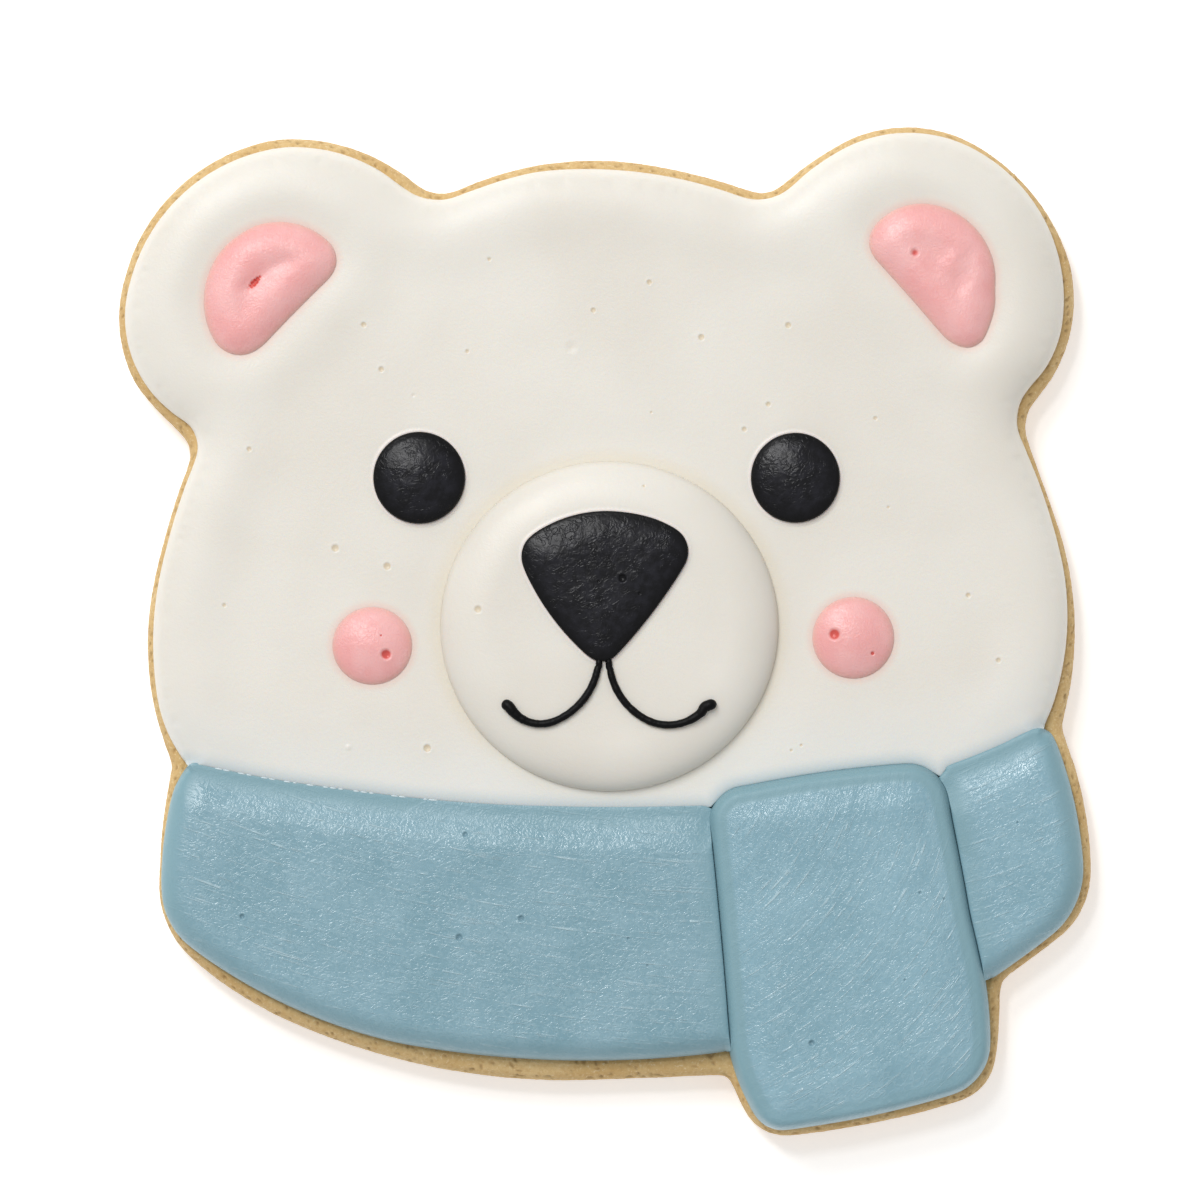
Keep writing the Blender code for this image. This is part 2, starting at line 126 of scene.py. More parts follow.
def smooth_loop(corners, step):
    """Evenly spaced points on a smooth closed curve through the corners."""
    a, b = np.roll(corners, 1, axis=0), corners
    c, d = np.roll(corners, -1, axis=0), np.roll(corners, -2, axis=0)
    t = np.linspace(0, 1, 12, endpoint=False)[:, None, None]
    curve = b + t * (c - a) / 2 + t**2 * (2 * a - 5 * b + 4 * c - d) / 2
    curve += t**3 * (3 * b - a - 3 * c + d) / 2
    points = curve.transpose(1, 0, 2).reshape(-1, 2)
    return spaced(np.vstack([points, points[:1]]), step)[:-1]


def closed(loop):
    return np.vstack([loop, loop[:1]])


class Outline:
    """A closed outline with quick signed distances: positive inside."""

    def __init__(self, loop):
        self.loop = loop
        along = np.roll(loop, -1, axis=0) - np.roll(loop, 1, axis=0)
        along /= np.hypot(*along.T)[:, None]
        self.inward = np.column_stack([-along[:, 1], along[:, 0]])
        self.tree = KDTree(len(loop))
        for index, (x, y) in enumerate(loop):
            self.tree.insert((x, y, 0), index)
        self.tree.balance()
        self.step = lengths_along(closed(loop))[-1] / len(loop)

    def nearest(self, points):
        """Each point's signed distance to the outline, its nearest place on it and the index there."""
        index = np.array([self.tree.find((x, y, 0))[1] for x, y in points])
        place = self.loop[index]
        offset = points - place
        along = np.column_stack([self.inward[index][:, 1], -self.inward[index][:, 0]])
        slide = np.clip((offset * along).sum(1), -self.step / 2, self.step / 2)
        place = place + slide[:, None] * along
        offset = points - place
        inside = np.where((offset * self.inward[index]).sum(1) > 0, 1.0, -1.0)
        return inside * np.hypot(*offset.T), place, index

    def depth(self, points):
        return self.nearest(points)[0]

    def inset(self, depth):
        """The outline's points moved inwards, without those that a tight bend brings too near."""
        moved = self.loop + depth * self.inward
        return moved[np.abs(self.depth(moved)) > 0.93 * abs(depth)]


def drawn(node, step, neighbours=()):
    """A node's outline, smooth, and moved to lie against its neighbours where it runs beside them."""
    loop = smooth_loop(outline_of(node), step)
    for neighbour in neighbours:
        depth, place, index = neighbour.nearest(loop)
        near = np.abs(depth) < SNUG_REACH
        loop[near] = (place + SEAM_PRESS * neighbour.inward[index])[near]
    return Outline(spaced(closed(loop), step)[:-1])


# Blanks


def honeycomb(outline, spacing, margin):
    low, high = outline.loop.min(0), outline.loop.max(0)
    row_height = spacing * math.sqrt(3) / 2
    rows = []
    for row in range(math.ceil((high[1] - low[1]) / row_height)):
        x = np.arange(low[0] + spacing / 2 * (row % 2), high[0], spacing)
        rows.append(np.column_stack([x, np.full_like(x, low[1] + row * row_height)]))
    points = np.vstack(rows)
    return points[outline.depth(points) > margin]


def triangulated(outline, inner):
    """Points and triangles of the outline's inside; the outline's own points come first."""
    count = len(outline.loop)
    points = np.vstack([outline.loop, *inner])
    border = [(i, (i + 1) % count) for i in range(count)]
    made = delaunay_2d_cdt([tuple(p) for p in points], border, [], 1, 1e-7)
    return np.array([tuple(p) for p in made[0]]), [list(face) for face in made[2]]


def edge_rings(spacing):
    """Depths of the rings of points inside an edge, further and further apart up to the spacing."""
    depths, step = [FIRST_RING], RING_STEP
    while step < 0.9 * spacing:
        depths.append(depths[-1] + step)
        step *= RING_GROWTH
    return depths


def spot_points(x, y, radius):
    """Rings of points in and round a bubble pit, each turned a little from the last."""
    rings = []
    for ring in SPOT_RINGS:
        count = max(6, round(2 * math.pi * ring * radius / SPOT_STEP))
        angle = np.arange(count) * 2 * math.pi / count + ring
        turned = np.column_stack([np.cos(angle), np.sin(angle)])
        rings.append((x, y) + ring * radius * turned)
    return np.vstack([[[x, y]], *rings])


def add_object(name, data):
    made = bpy.data.objects.new(name, data)
    bpy.context.scene.collection.objects.link(made)
    return made


def add_mesh(name, points, edges, faces):
    """A mesh from places in millimetres. Places without a height lie at z = 0."""
    places = np.zeros((len(points), 3))
    places[:, :points.shape[1]] = points
    mesh = bpy.data.meshes.new(name)
    mesh.from_pydata((places * MM).tolist(), edges, faces)
    return add_object(name, mesh)


def add_blank(name, outline, spacing, spots=(), carried=()):
    """A closed flat piece at z = 0, fine on top and coarse beneath; its top points are marked upper.

    The top is finer still at its edge, at the spots and along the outlines of what it carries.
    """
    rings = edge_rings(spacing)
    inner = [outline.inset(depth) for depth in rings]
    grid = honeycomb(outline, spacing, rings[-1] + 0.7 * spacing)
    for piece in carried:
        grid = grid[np.abs(piece.depth(grid)) > CARRIED_BORDER]
        inner += [piece.inset(depth) for depth in CARRIED_RINGS]
    for x, y, radius in spots:
        away = np.hypot(grid[:, 0] - x, grid[:, 1] - y)
        grid = grid[away > radius * SPOT_RINGS[-1] + 0.4 * spacing]
        inner.append(spot_points(x, y, radius))
    upper, upper_faces = triangulated(outline, [*inner, grid])
    under_grid = honeycomb(outline, UNDER_SPACING, UNDER_MARGIN)
    under, under_faces = triangulated(outline, [under_grid])
    shift, count = len(upper), len(outline.loop)
    faces = upper_faces + [[shift + i for i in reversed(face)] for face in under_faces]
    for i in range(count):
        j = (i + 1) % count
        faces.append([i, shift + i, shift + j, j])
    blank = add_mesh(name, np.vstack([upper, under]), [], faces)
    marks = blank.data.attributes.new("upper", "FLOAT", "POINT")
    marks.data.foreach_set("value", np.arange(shift + len(under)) < shift)
    return blank


GUIDES = set()


def add_guide(name, paths, values=None):
    """Open paths, or lone points, that a node tree measures distances to. They lie at z = 0."""
    edges, start = [], 0
    for path in paths:
        edges += [(start + i, start + i + 1) for i in range(len(path) - 1)]
        start += len(path)
    made = add_mesh(name, np.vstack(paths), edges, [])
    for key, numbers in (values or {}).items():
        made.data.attributes.new(key, "FLOAT", "POINT").data.foreach_set("value", numbers)
    GUIDES.add(name)
    return made


def stretches(outline, neighbours, beside):
    """The parts of an outline that run beside its neighbours, or the parts that don't."""
    near = np.zeros(len(outline.loop), bool)
    for neighbour in neighbours:
        near |= np.abs(neighbour.depth(outline.loop)) < 2 * SEAM_PRESS
    chosen = near == beside
    if chosen.all():
        return [closed(outline.loop)]
    first = int(np.argmin(chosen))
    loop, chosen = np.roll(outline.loop, -first, axis=0), np.roll(chosen, -first)
    breaks = np.flatnonzero(np.diff(chosen.astype(int))) + 1
    runs = np.split(np.arange(len(loop)), breaks)
    return [loop[run] for run in runs if chosen[run[0]] and len(run) > 3]


# Node trees


class Wire:
    """A node's output. Arithmetic on it adds Math nodes to its tree."""

    def __init__(self, tree, socket):
        self.tree, self.socket = tree, socket

    def output(self, name):
        return Wire(self.tree, self.socket.node.outputs[name])

    def maths(self, operation, *others):
        given = dict(enumerate((self, *others)))
        return wire(self.tree, "ShaderNodeMath", given, operation=operation)

    def __add__(self, other):
        return self.maths("ADD", other)

    def __sub__(self, other):
        return self.maths("SUBTRACT", other)

    def __mul__(self, other):
        return self.maths("MULTIPLY", other)

    def __truediv__(self, other):
        return self.maths("DIVIDE", other)

    __radd__, __rmul__ = __add__, __mul__

    def __rsub__(self, other):
        return wire(self.tree, "ShaderNodeMath", {0: other, 1: self}, operation="SUBTRACT")

    def __rtruediv__(self, other):
        return wire(self.tree, "ShaderNodeMath", {0: other, 1: self}, operation="DIVIDE")

    def __pow__(self, other):
        return self.maths("POWER", other)

    def between(self, low, high):
        """0 at low, 1 at high, and smooth in between. Low may be the greater of the two."""
        given = {"Value": self, "From Min": low, "From Max": high}
        return wire(self.tree, "ShaderNodeMapRange", given, interpolation_type="SMOOTHSTEP")

    def capped(self):
        return self.maths("MAXIMUM", 0.0).maths("MINIMUM", 1.0)


def fill(node, given):
    """Links a node's inputs to wires, or sets them."""
    for key, value in given.items():
        if isinstance(value, Wire):
            value.tree.links.new(value.socket, node.inputs[key])
        else:
            node.inputs[key].default_value = value


def wire(tree, kind, given=None, output=0, **settings):
    """Adds a node, sets it, fills its inputs and returns one of its outputs."""
    node = tree.nodes.new(kind)
    for key, value in settings.items():
        setattr(node, key, value)
    fill(node, given or {})
    return Wire(tree, node.outputs[output])


def parts_of(vector):
    split = wire(vector.tree, "ShaderNodeSeparateXYZ", {0: vector})
    return split, split.output("Y"), split.output("Z")


def joined(tree, x, y, z):
    return wire(tree, "ShaderNodeCombineXYZ", {"X": x, "Y": y, "Z": z})


def scaled(vector, factor):
    given = {0: vector, "Scale": factor}
    return wire(vector.tree, "ShaderNodeVectorMath", given, operation="SCALE")


def noise(place, size, detail=2.0, roughness=0.5, distortion=0.0):
    """Noise from 0 to 1 whose lumps are about this size, in the unit of the place."""
    given = {
        "Vector": place,
        "Scale": 1 / size,
        "Detail": detail,
        "Roughness": roughness,
        "Distortion": distortion,
    }
    return wire(place.tree, "ShaderNodeTexNoise", given)


def swell(depth, roll):
    """0 at an edge and 1 from `roll` inwards, rising steeply at first as a drop's edge does."""
    rest = 1 - (depth / roll).capped()
    return (1 - rest * rest).maths("SQRT")


def ridge(depth, crest, width):
    share = (depth - crest) / width
    return (share * share * -1).maths("EXPONENT")


def around_centre(x, y, centre_x, centre_y, mean):
    """The distance from a centre, and the angle round it as a length along the mean circle."""
    from_x, from_y = x - centre_x, y - centre_y
    radius = (from_x * from_x + from_y * from_y).maths("SQRT")
    return radius, from_y.maths("ARCTAN2", from_x) * mean


def strokes(radius, along, width, length):
    """Noise drawn out along circles round a centre, as a knife or brush leaves it."""
    return noise(joined(radius.tree, radius / width, along / length, 0.0), 1.0, 3.0, 0.6, 0.3)


def store(geometry, name, value):
    given = {0: geometry, "Name": name, "Value": value}
    return wire(geometry.tree, "GeometryNodeStoreNamedAttribute", given)


def geometry_tree(name, inputs):
    tree = bpy.data.node_groups.new(name, "GeometryNodeTree")
    for label, kind in [("Geometry", "Geometry"), *inputs]:
        tree.interface.new_socket(label, in_out="INPUT", socket_type="NodeSocket" + kind)
    tree.interface.new_socket("Geometry", in_out="OUTPUT", socket_type="NodeSocketGeometry")
    source = tree.nodes.new("NodeGroupInput")
    return tree, {s.name: Wire(tree, s) for s in source.outputs if s.name}


def end_tree(tree, geometry, material):
    whole = wire(tree, "GeometryNodeRealizeInstances", {0: geometry})
    smooth = wire(tree, "GeometryNodeSetShadeSmooth", {0: whole})
    painted = wire(tree, "GeometryNodeSetMaterial", {0: smooth, "Material": material})
    fill(tree.nodes.new("NodeGroupOutput"), {0: painted})


def made_by(tree, blank, name, settings):
    """What the tree makes of the blank, as a plain mesh in an object of that name."""
    modifier = blank.modifiers.new("made", "NODES")
    modifier.node_group = tree
    for item in tree.interface.items_tree:
        if item.in_out == "INPUT" and item.name in settings:
            value = settings[item.name]
            if item.socket_type == "NodeSocketFloat":
                value = float(value)
            modifier[item.identifier] = value
    graph = bpy.context.evaluated_depsgraph_get()
    mesh = bpy.data.meshes.new_from_object(blank.evaluated_get(graph))
    mesh.name = name
    GUIDES.discard(blank.name)
    bpy.data.objects.remove(blank)
    return add_object(name, mesh)


def sockets(kind, *names):
    return [(name, kind) for name in names]


# The circle that a pool's strokes follow
STROKE_CIRCLE = ("Stroke centre x", "Stroke centre y", "Stroke radius")
POOL_INPUTS = [
    *sockets("Object", "Seat", "Free edge", "Seam", "Tail edge", "Inner ears", "Pink edges"),
    *sockets("Object", "Disc edge", "Trim edges", "Pits", "Groove"),
    *sockets("Material", "Material"),
    *sockets("Bool", "Level top"),
    *sockets("Int", "Smoothing"),
    *sockets("Float", "Least seat", "Rest gap", "Level", "Thickness", "Lip", "Roll"),
    *sockets("Float", "Side share", "Side roll", "Bevel share", "Bevel width", "Bevel power"),
    *sockets("Float", "Seam dip", "Seam roll", "Seam slope", "Seam ledge", "Seam reach"),
    *sockets("Float", "Tail dip", "Tail roll", "Rim colour from", "Rim colour to"),
    *sockets("Float", "Rim ridge", "Rim crest", "Rim width", "Ear ridge", "Ear crest", "Ear width"),
    *sockets("Float", "Moat", "Moat crest", "Moat width", "Groove depth", "Groove width", "Collar"),
    *sockets("Float", "Unevenness", "Lump size", "Stroke depth", "Stroke width", "Stroke length"),
    *sockets("Float", *STROKE_CIRCLE, "Grid", "Seed"),
]
# The thin collar of icing round a drop, and how near a seam the ridge along the rim starts to fade
COLLAR_CREST, COLLAR_WIDTH = 0.12, 0.14
RIM_FADE = 4.0
# Smoothing sets in between these grid steps from an edge, and these distances from what is on top
SMOOTH_FROM, SMOOTH_TO = 3, 8
CALM_FROM, CALM_TO = 0.6, 1.8
# The raised lip of a burst bubble: its place and width as shares of the pit's radius, and its height
PIT_LIP, PIT_LIP_WIDTH, PIT_LIP_HEIGHT = 1.15, 0.22, 0.1
# A ray that looks for the seat starts this high, in metres, and is this long
RAY_START, RAY_LENGTH = 0.05, 0.1


def carrier_height(carrier, x, y):
    """How high, in millimetres, the carrier's top is at a place."""
    shot = {
        0: carrier,
        "Source Position": joined(x.tree, x * MM, y * MM, RAY_START),
        "Ray Direction": (0, 0, -1),
        "Ray Length": RAY_LENGTH,
    }
    return parts_of(wire(x.tree, "GeometryNodeRaycast", shot, "Hit Position"))[2] / MM


def pool_tree():
    """Raises a flat blank into a pool of icing on its seat."""
    tree, given = geometry_tree("pool of icing", POOL_INPUTS)
    place = wire(tree, "GeometryNodeInputPosition")
    x, y, _ = parts_of(scaled(place, 1 / MM))
    upper = wire(tree, "GeometryNodeInputNamedAttribute", {"Name": "upper"}, "Attribute")

    def guide(label):
        return wire(tree, "GeometryNodeObjectInfo", {"Object": given[label]}, "Geometry")

    def nearest(geometry, output, element):
        return wire(tree, "GeometryNodeProximity", {0: geometry}, output, target_element=element)

    def reach(label):
        """Distance to a guide, or very far where the pool has no such guide."""
        found = nearest(guide(label), "Distance", "EDGES")
        return (found + 1 - found.output("Is Valid")) / MM

    carrier = carrier_height(guide("Seat"), x, y)
    seat = carrier.maths("MAXIMUM", given["Least seat"])

    free, seam, tail = reach("Free edge"), reach("Seam"), reach("Tail edge")
    shore = nearest(guide("Free edge"), "Position", "EDGES")
    # How far a place lies south of its nearest free edge, on the side turned from the light.
    southern = ((y - parts_of(shore)[1] / MM) / free.maths("MAXIMUM", 0.01)).between(0.2, 0.95)
    above = given["Level"] - seat - given["Thickness"]
    thickness = given["Thickness"] + given["Level top"] * above
    bevel = 1 - (1 - (free / given["Bevel width"]).capped()) ** given["Bevel power"]
    rise = swell(free, given["Roll"]) * (1 - given["Side share"] - given["Bevel share"])
    rise = rise + swell(free, given["Side roll"]) * given["Side share"]
    rise = rise + bevel * given["Bevel share"]
    drop = (thickness - given["Lip"]) * (1 - rise)
    seam_drop = given["Seam dip"] * (1 - swell(seam, given["Seam roll"]))
    slope = 1 - seam.between(given["Seam ledge"], given["Seam reach"])
    seam_drop = seam_drop + given["Seam slope"] * slope
    tail_drop = given["Tail dip"] * (1 - swell(tail, given["Tail roll"]))
    height = thickness - drop.maths("MAXIMUM", seam_drop).maths("MAXIMUM", tail_drop)

    ears = reach("Inner ears")
    crest = ridge(free, given["Rim crest"], given["Rim width"]) * seam.between(0.0, RIM_FADE)
    height = height + given["Rim ridge"] * crest
    height = height + given["Ear ridge"] * ridge(ears, given["Ear crest"], given["Ear width"])
    disc = reach("Disc edge")
    height = height - given["Moat"] * ridge(disc, given["Moat crest"], given["Moat width"])
    groove = ridge(reach("Groove"), 0.0, given["Groove width"])
    height = height - given["Groove depth"] * groove
    edge = free.maths("MINIMUM", seam).maths("MINIMUM", tail)
    trim, pink = reach("Trim edges"), reach("Pink edges")
    far = edge.between(given["Grid"] * SMOOTH_FROM, given["Grid"] * SMOOTH_TO)
    laid = trim.maths("MINIMUM", disc).maths("MINIMUM", pink)
    calm = far * laid.between(CALM_FROM, CALM_TO)
    eased = {0: height, "Iterations": given["Smoothing"], "Weight": calm}
    height = wire(tree, "GeometryNodeBlurAttribute", eased)

    height = height + given["Collar"] * ridge(trim, COLLAR_CREST, COLLAR_WIDTH)
    lumps = noise(joined(tree, x / given["Lump size"], y / given["Lump size"], given["Seed"]), 1.0)
    height = height + given["Unevenness"] * (lumps - 0.5) * 2 * edge.between(0.0, 2.0)
    radius, along = around_centre(x, y, *(given[name] for name in STROKE_CIRCLE))
    brushed = strokes(radius, along, given["Stroke width"], given["Stroke length"])
    height = height + given["Stroke depth"] * (brushed - 0.5) * edge.between(0.2, 2.4)

    pits = guide("Pits")
    pit = wire(tree, "GeometryNodeSampleNearest", {0: pits, 1: place})

    def of_pit(name):
        value = wire(tree, "GeometryNodeInputNamedAttribute", {"Name": name}, "Attribute")
        return wire(tree, "GeometryNodeSampleIndex", {0: pits, 1: value, 2: pit})

    share = nearest(pits, "Distance", "POINTS") / MM / of_pit("radius").maths("MAXIMUM", 0.001)
    bowl = (1 - share * share).maths("MAXIMUM", 0.0) ** (2 - of_pit("tint"))
    lip = ridge(share, PIT_LIP, PIT_LIP_WIDTH) * of_pit("tint") * PIT_LIP_HEIGHT
    height = height - of_pit("depth") * (bowl - lip)

    rim = 1 - edge.between(given["Rim colour from"], given["Rim colour to"])
    stored = given["Geometry"]
    for name, value in (
        ("edge", edge),
        # The rim's darker colour is half as strong on the side turned from the light, where shade
        # covers the slope: a colour that follows how the light falls.
        ("rim", rim * (1 - southern * 0.5)),
        ("pink", pink),
        ("trim", trim),
        ("seam", seam.maths("MINIMUM", tail)),
        ("disc", disc),
        # The pit's share of painted shade, for the materials
        ("pit", bowl * of_pit("tint")),
    ):
        stored = store(stored, name, value)
    top, bottom = seat + height, carrier + given["Rest gap"]
    z = (bottom + (top - bottom) * upper) * MM
    raised = {0: stored, "Position": joined(tree, x * MM, y * MM, z)}
    end_tree(tree, wire(tree, "GeometryNodeSetPosition", raised), given["Material"])
    return tree


LINE_INPUTS = [
    *sockets("Object", "Carrier"),
    *sockets("Material", "Material"),
    *sockets("Float", "Radius", "Sunk share", "End swelling", "End length", "Wobble", "Seed"),
]
# Steps along a line and sides round it, and how thin it starts at the nose, over what length
LINE_STEP, LINE_SIDES = 0.07, 20
LINE_START_SHARE, LINE_START_LENGTH = 0.88, 3.0


def line_tree():
    """Pipes a line of icing, rounded at both ends, along a path and onto its carrier."""
    tree, given = geometry_tree("piped line", LINE_INPUTS)
    path = wire(tree, "GeometryNodeMeshToCurve", {0: given["Geometry"]})
    step = {0: path, "Length": LINE_STEP * MM}
    path = wire(tree, "GeometryNodeResampleCurve", step, mode="LENGTH")
    run = wire(tree, "GeometryNodeSplineParameter").output("Length") / MM
    left = wire(tree, "GeometryNodeSplineLength") / MM - run
    radius = given["Radius"]
    ends = swell(run, radius) * swell(left, radius)
    blob = 1 + given["End swelling"] * ridge(left, 0.0, given["End length"])
    unsteady = noise(joined(tree, run, given["Seed"], 0.0), 0.7) - 0.5
    start = LINE_START_SHARE + (1 - LINE_START_SHARE) * run.between(0.0, LINE_START_LENGTH)
    thick = radius * blob * (1 + given["Wobble"] * unsteady) * start
    place = wire(tree, "GeometryNodeInputPosition")
    x, y, _ = parts_of(scaled(place, 1 / MM))
    carrier = wire(tree, "GeometryNodeObjectInfo", {"Object": given["Carrier"]}, "Geometry")
    height = carrier_height(carrier, x, y) + thick * ends * (1 - given["Sunk share"])
    spot = joined(tree, x * MM, y * MM, height * MM)
    path = wire(tree, "GeometryNodeSetPosition", {0: path, "Position": spot})
    circle = {"Resolution": LINE_SIDES, "Radius": 1.0}
    profile = wire(tree, "GeometryNodeCurvePrimitiveCircle", circle)
    scale = (thick * ends).maths("MAXIMUM", 0.004) * MM
    tube = {0: path, 1: profile, "Scale": scale, "Fill Caps": True}
    end_tree(tree, wire(tree, "GeometryNodeCurveToMesh", tube), given["Material"])
    return tree


BEAD_INPUTS = [
    *sockets("Material", "Material"),
    *sockets("Float", "Level", "Spacing", "Share kept", "Length", "Width", "Height"),
    *sockets("Int", "Seed"),
]
# A bead's length is drawn between these shares of the given one
BEAD_LEAST, BEAD_MOST = 0.55, 1.5


def bead_tree():
    """Leaves small flat beads of icing here and there along a seam."""
    tree, given = geometry_tree("beads along a seam", BEAD_INPUTS)
    path = wire(tree, "GeometryNodeMeshToCurve", {0: given["Geometry"]})
    step = given["Spacing"] * MM
    path = wire(tree, "GeometryNodeResampleCurve", {0: path, "Length": step}, mode="LENGTH")
    lift = joined(tree, 0.0, 0.0, given["Level"] * MM)
    path = wire(tree, "GeometryNodeSetPosition", {0: path, "Offset": lift})
    points = wire(tree, "GeometryNodeCurveToPoints", {0: path}, mode="EVALUATED")
    kept = {"Probability": given["Share kept"], "Seed": given["Seed"]}
    kept = wire(tree, "FunctionNodeRandomValue", kept, 3, data_type="BOOLEAN")
    size = {2: BEAD_LEAST, 3: BEAD_MOST, "Seed": given["Seed"]}
    size = wire(tree, "FunctionNodeRandomValue", size, 1, data_type="FLOAT")
    length = size * given["Length"] * MM
    scale = joined(tree, length, given["Width"] * MM, given["Height"] * MM)
    bead = wire(tree, "GeometryNodeMeshIcoSphere", {"Radius": 1.0, "Subdivisions": 2})
    flat = wire(tree, "FunctionNodeAlignRotationToVector", {"Vector": (0.0, 0.0, 1.0)})
    turn = {"Rotation": flat, "Vector": points.output("Tangent")}
    along = wire(tree, "FunctionNodeAlignRotationToVector", turn, axis="X", pivot_axis="Z")
    laid = {0: points, 1: kept, 2: bead, "Rotation": along, "Scale": scale}
    end_tree(tree, wire(tree, "GeometryNodeInstanceOnPoints", laid), given["Material"])
    return tree


BISCUIT_INPUTS = [
    *sockets("Material", "Material"),
    *sockets("Float", "Wave height", "Wave size", "Grain height", "Grain size"),
    *sockets("Float", "Pore depth", "Pore spacing", "Pore radius", "Seed"),
]


def biscuit_tree():
    """Gives a smooth biscuit the uneven, grainy and pored skin of a baked one. It only sinks."""
    tree, given = geometry_tree("baked skin", BISCUIT_INPUTS)
    place = scaled(wire(tree, "GeometryNodeInputPosition"), 1 / MM)
    x, y, z = parts_of(place)
    moved = joined(tree, x + given["Seed"], y, z)

    def at(size):
        return scaled(moved, 1.0 / size)

    wave = noise(at(given["Wave size"]), 1.0)
    grain = noise(at(given["Grain size"]), 1.0, 3.0, 0.6)
    holes = wire(tree, "ShaderNodeTexVoronoi", {"Vector": at(given["Pore spacing"]), "Scale": 1.0})
    wide = noise(at(given["Pore spacing"]), 0.9, 1.0)
    reach = given["Pore radius"] / given["Pore spacing"] * wide * 2
    pore = (1 - holes / reach).maths("MAXIMUM", 0.0).maths("SQRT")
    sunk = given["Wave height"] * wave + given["Grain height"] * grain + given["Pore depth"] * pore
    inwards = scaled(wire(tree, "GeometryNodeInputNormal"), sunk * -MM)
    # The pores' depth, which the material also uses for painted shade
    stored = store(given["Geometry"], "pore", pore)
    skin = wire(tree, "GeometryNodeSetPosition", {0: stored, "Offset": inwards})
    end_tree(tree, skin, given["Material"])
    return tree


# Materials


def linear(red, green, blue):
    """A colour as seen on a screen, 0 to 255, in the shader's own units."""
    shares = [c / 255 for c in (red, green, blue)]
    return (*[s / 12.92 if s <= 0.04045 else ((s + 0.055) / 1.055) ** 2.4 for s in shares], 1.0)


def mix(factor, first, second):
    given = {0: factor, 6: first, 7: second}
    return wire(factor.tree, "ShaderNodeMix", given, 2, data_type="RGBA")


def attribute(tree, name):
    return wire(tree, "ShaderNodeAttribute", None, "Fac", attribute_name=name)


def layered(colour, layers):
    """The colour with others laid over it: (attribute, none at, full at, share when full, shade)."""
    for name, none_at, full_at, share, shade in layers:
        covering = attribute(colour.tree, name).between(none_at, full_at) * share
        colour = mix(covering, colour, linear(*shade))
    return colour


def bump(height, distance):
    """A normal bent by a height from 0 to 1 that stands for so many millimetres."""
    return wire(height.tree, "ShaderNodeBump", {"Height": height, "Distance": distance * MM})


# The plain grey that an export shows where the materials aren't baked
UNBAKED_GREY = (0.5, 0.5, 0.5, 1.0)


def start_material(name):
    """A new material, and the place on a piece in millimetres."""
    material = bpy.data.materials.new(name)
    material.diffuse_color = UNBAKED_GREY
    material.use_nodes = True
    place = wire(material.node_tree, "ShaderNodeTexCoord", None, "Object")
    return material, scaled(place, 1 / MM)


def finish_material(material, colour, normal, roughness, specular=0.5, subsurface=0.0, glow=0.0):
    given = {
        "Base Color": colour, "Normal": normal, "Roughness": roughness,
        "Specular IOR Level": specular, "Subsurface Weight": subsurface,
        "Subsurface Radius": (1.0, 0.8, 0.6), "Subsurface Scale": 0.8 * MM,
        "Emission Color": (1.0, 1.0, 1.0, 1.0), "Emission Strength": glow,
    }
    fill(material.node_tree.nodes["Principled BSDF"], given)
    return material


def wrinkles(place, size, width=0.08):
    """Fine winding ridges, 0 to 1, as icing gets when it crusts while it is being spread."""
    winding = noise(place, size, 1.0, 0.5, 1.2) - 0.5
    return ridge(winding, 0.0, width)


def white_icing():
    material, place = start_material("white icing")
    tone = noise(place, 14.0).between(0.3, 0.7)
    colour = mix(tone, linear(230, 225, 215), linear(235, 231, 222))
    colour = layered(colour, (
        # Warmer and darker within half a millimetre of the edge: painted shade at the icing's foot.
        ("edge", 0.5, 0.0, 0.15, (216, 200, 170)),
        # Warmer and darker on the face just outside the muzzle: painted shade at the muzzle's foot.
        ("disc", 1.8, 0.0, 0.4, (224, 212, 186)),
        # Cooler towards the seam over 10 mm. Darker and bluish over its last 1.8 mm, partly blue bled
        # into the white and partly painted shade in the seam.
        ("seam", 10.0, 0.0, 0.6, (231, 233, 230)),
        ("seam", 1.8, 0.0, 0.7, (200, 213, 218)),
        # Pale in a thin ring round the eyes and the nose: a painted highlight on the collar there.
        ("trim", 0.38, 0.12, 0.8, (247, 236, 230)),
        ("pink", 0.9, 0.0, 0.36, (240, 190, 176)),
        # Warmer and darker in the bubble pits: painted shade in the hollows.
        ("pit", 0.05, 0.5, 0.7, (222, 204, 172)),
    ))
    fine = noise(place, 0.3, 3.0, 0.6) + wrinkles(place, 0.8) * 0.3
    rough = noise(place, 4.0) * 0.2 + 0.3
    return finish_material(material, colour, bump(fine, 0.015), rough, 0.4, subsurface=0.25)


def black_icing(name, worn, middle, light, specular):
    """Black icing with scratches. Its middle is a dark grey, and painted shade makes its edge darker
    still.
    """
    material, place = start_material(name)
    scratch = wrinkles(place, 0.7, 0.09)
    tone = noise(place, 0.9, 3.0, 0.6).between(0.35, 0.7)
    colour = mix(tone, linear(20, 20, 23), linear(*light))
    colour = layered(colour, (
        # Painted shade: darker towards the edge, darkest at it, and darker in the pits.
        ("edge", middle, 0.1, 0.8, (6, 6, 7)),
        ("edge", 0.4, 0.15, 1.0, (3, 3, 4)),
        ("pit", 0.1, 0.5, 0.8, (6, 6, 7)),
    ))
    patch = noise(place, 2.2, 1.0).between(0.4, 0.65)
    fine = noise(place, 0.8) * 0.8 + scratch * (0.2 + patch * 0.5)
    edge = attribute(place.tree, "edge").between(0.4, 0.15)
    rough = noise(place, 1.2) * 0.16 + 0.22 + edge * 0.2
    return finish_material(material, colour, bump(fine * worn, 0.038), rough, specular)


